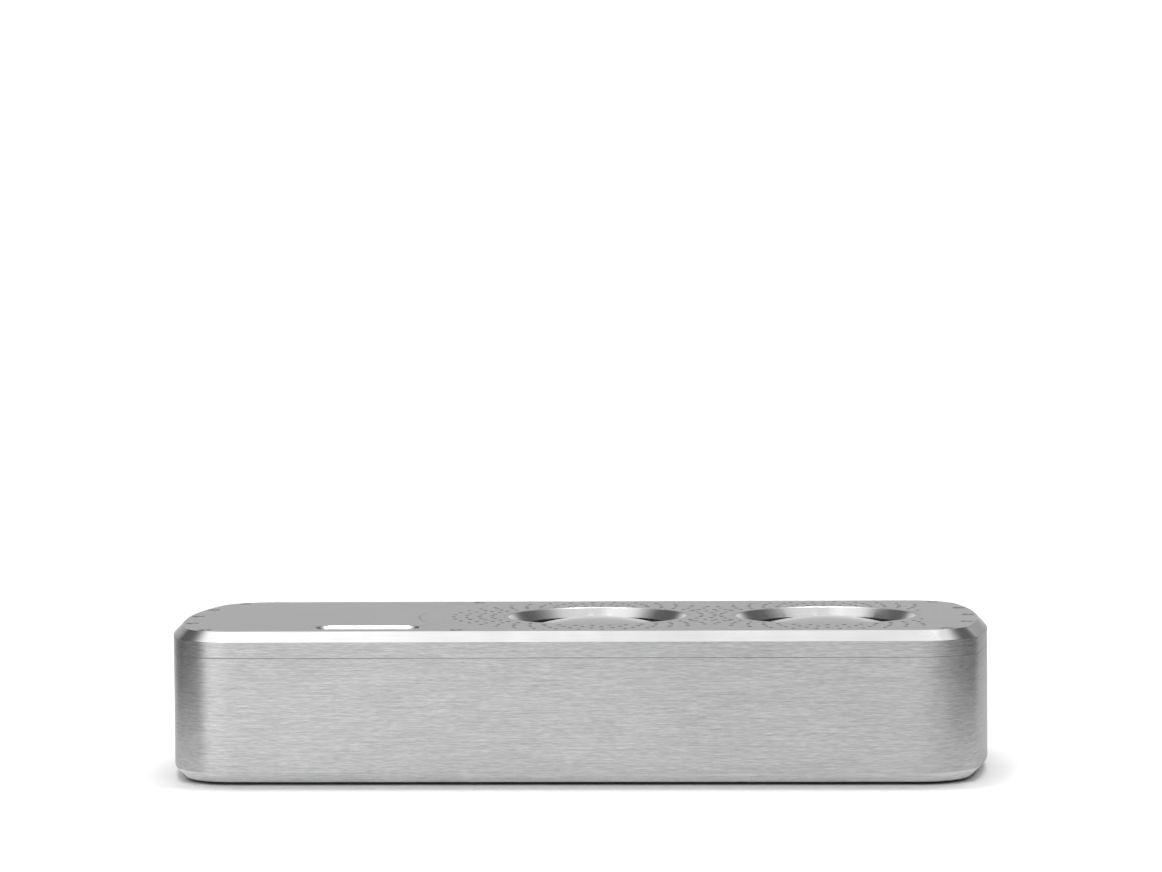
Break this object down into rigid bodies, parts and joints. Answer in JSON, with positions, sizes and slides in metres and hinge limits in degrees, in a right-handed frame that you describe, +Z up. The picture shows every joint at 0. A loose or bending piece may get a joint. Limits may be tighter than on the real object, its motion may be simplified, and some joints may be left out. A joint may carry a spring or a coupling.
{
  "type": "mini hifi system",
  "caption": "Low all-in-one hifi with a brushed aluminium tub and lid, two up-firing dome drivers ringed by perforations, a recessed key well and a rear connector bay.",
  "frame": {"origin": "on the ground under the middle of the case", "axes": "+X to the listener's right along the case, the front faces -Y, +Z up"},
  "size_m": [0.4, 0.168, 0.0735],
  "materials": {
    "brushed_case": "fine horizontal brushing, clear anodised",
    "satin_lid": "satin anodised top with a polished chamfer",
    "bright_trim": "turned and polished",
    "dome": "spun satin",
    "plate_steel": "powder coated",
    "screws": "bright zinc",
    "rubber": "matt",
    "foam": "closed cell",
    "silicone": "translucent",
    "dust_mesh": "fine black mesh",
    "box_plastic": "moulded",
    "baffle_board": "fibreboard",
    "basket_steel": "black powder coat",
    "motor_steel": "zinc plated",
    "ferrite": "sintered",
    "coil_copper": "enamelled wire on a former",
    "spider_cloth": "impregnated cloth",
    "keys": "satin",
    "circuit_board": "solder mask",
    "light_guide": "clear acrylic",
    "chip": "epoxy",
    "heat_sink": "anodised",
    "transformer": "taped winding on a core",
    "capacitor_sleeve": "shrink sleeve",
    "lead": "PVC",
    "bay_plastic": "fine textured moulding",
    "rocker": "glossy moulding",
    "pins": "nickel plated",
    "gold_jack": "gold flashed",
    "network_shell": "tinned steel",
    "pair_key": "moulded"
  },
  "bodies": {
    "case": {"amplifier_chip": "chip", "aux_socket": "bay_plastic", "basket_left": "basket_steel", "basket_right": "basket_steel", "bay_panel": "bay_plastic", "bay_screws": "screws", "bottom_plate": "plate_steel", "bottom_screws": "screws", "box_gasket": "foam", "case_tub": "brushed_case", "connector_bay": "bay_plastic", "driver_screws": "screws", "dust_screen": "dust_mesh", "foot_front_left": "rubber", "foot_front_right": "rubber", "foot_rear_left": "rubber", "foot_rear_right": "rubber", "front_plate_left": "motor_steel", "front_plate_right": "motor_steel", "heat_sink": "heat_sink", "jack_board": "circuit_board", "key_board": "circuit_board", "key_mat": "silicone", "key_well": "bright_trim", "lid": "satin_lid", "lid_screws": "screws", "light_guide": "light_guide", "line_in_left": "gold_jack", "line_in_right": "gold_jack", "magnet_left": "ferrite", "magnet_right": "ferrite", "main_board": "circuit_board", "mains_inlet": "bay_plastic", "mains_pins": "pins", "network_socket": "network_shell", "power_board": "circuit_board", "speaker_baffle": "baffle_board", "speaker_box": "box_plastic", "speaker_lead_left": "lead", "speaker_lead_right": "lead", "spider_left": "spider_cloth", "spider_right": "spider_cloth", "supply_capacitors": "capacitor_sleeve", "surround_left": "rubber", "surround_right": "rubber", "switch_housing": "bay_plastic", "transformer": "transformer", "trim_ring_left": "bright_trim", "trim_ring_right": "bright_trim", "yoke_left": "motor_steel", "yoke_right": "motor_steel"},
    "dome_left_body": {"dome_left": "dome", "voice_coil_left": "coil_copper"},
    "dome_right_body": {"dome_right": "dome", "voice_coil_right": "coil_copper"},
    "key_minus_body": {"key_minus": "keys"},
    "key_play_body": {"key_play": "keys"},
    "key_plus_body": {"key_plus": "keys"},
    "power_rocker_body": {"power_rocker": "rocker"},
    "pair_button_body": {"pair_button": "pair_key"}
  },
  "joints": [
    {"name": "dome_left_travel", "type": "slide", "parent": "case", "child": "dome_left_body", "axis": [0, 0, 1], "range_m": [-0.0025, 0.0025], "stiffness_N_per_m": 1400, "deforming": ["surround_left", "spider_left"]},
    {"name": "dome_right_travel", "type": "slide", "parent": "case", "child": "dome_right_body", "axis": [0, 0, 1], "range_m": [-0.0025, 0.0025], "stiffness_N_per_m": 1400, "deforming": ["surround_right", "spider_right"]},
    {"name": "key_minus_press", "type": "slide", "parent": "case", "child": "key_minus_body", "axis": [0, 0, 1], "range_m": [-0.0008, 0], "stiffness_N_per_m": 1200, "deforming": ["key_mat"]},
    {"name": "key_play_press", "type": "slide", "parent": "case", "child": "key_play_body", "axis": [0, 0, 1], "range_m": [-0.0008, 0], "stiffness_N_per_m": 1200, "deforming": ["key_mat"]},
    {"name": "key_plus_press", "type": "slide", "parent": "case", "child": "key_plus_body", "axis": [0, 0, 1], "range_m": [-0.0008, 0], "stiffness_N_per_m": 1200, "deforming": ["key_mat"]},
    {"name": "power_rocker_tilt", "type": "hinge", "parent": "case", "child": "power_rocker_body", "pos_m": [-0.12, 0.0675, 0.031], "axis": [1, 0, 0], "range_deg": [-16, 0]},
    {"name": "pair_button_press", "type": "slide", "parent": "case", "child": "pair_button_body", "axis": [0, 1, 0], "range_m": [-0.0004, 0], "stiffness_N_per_m": 900}
  ]
}
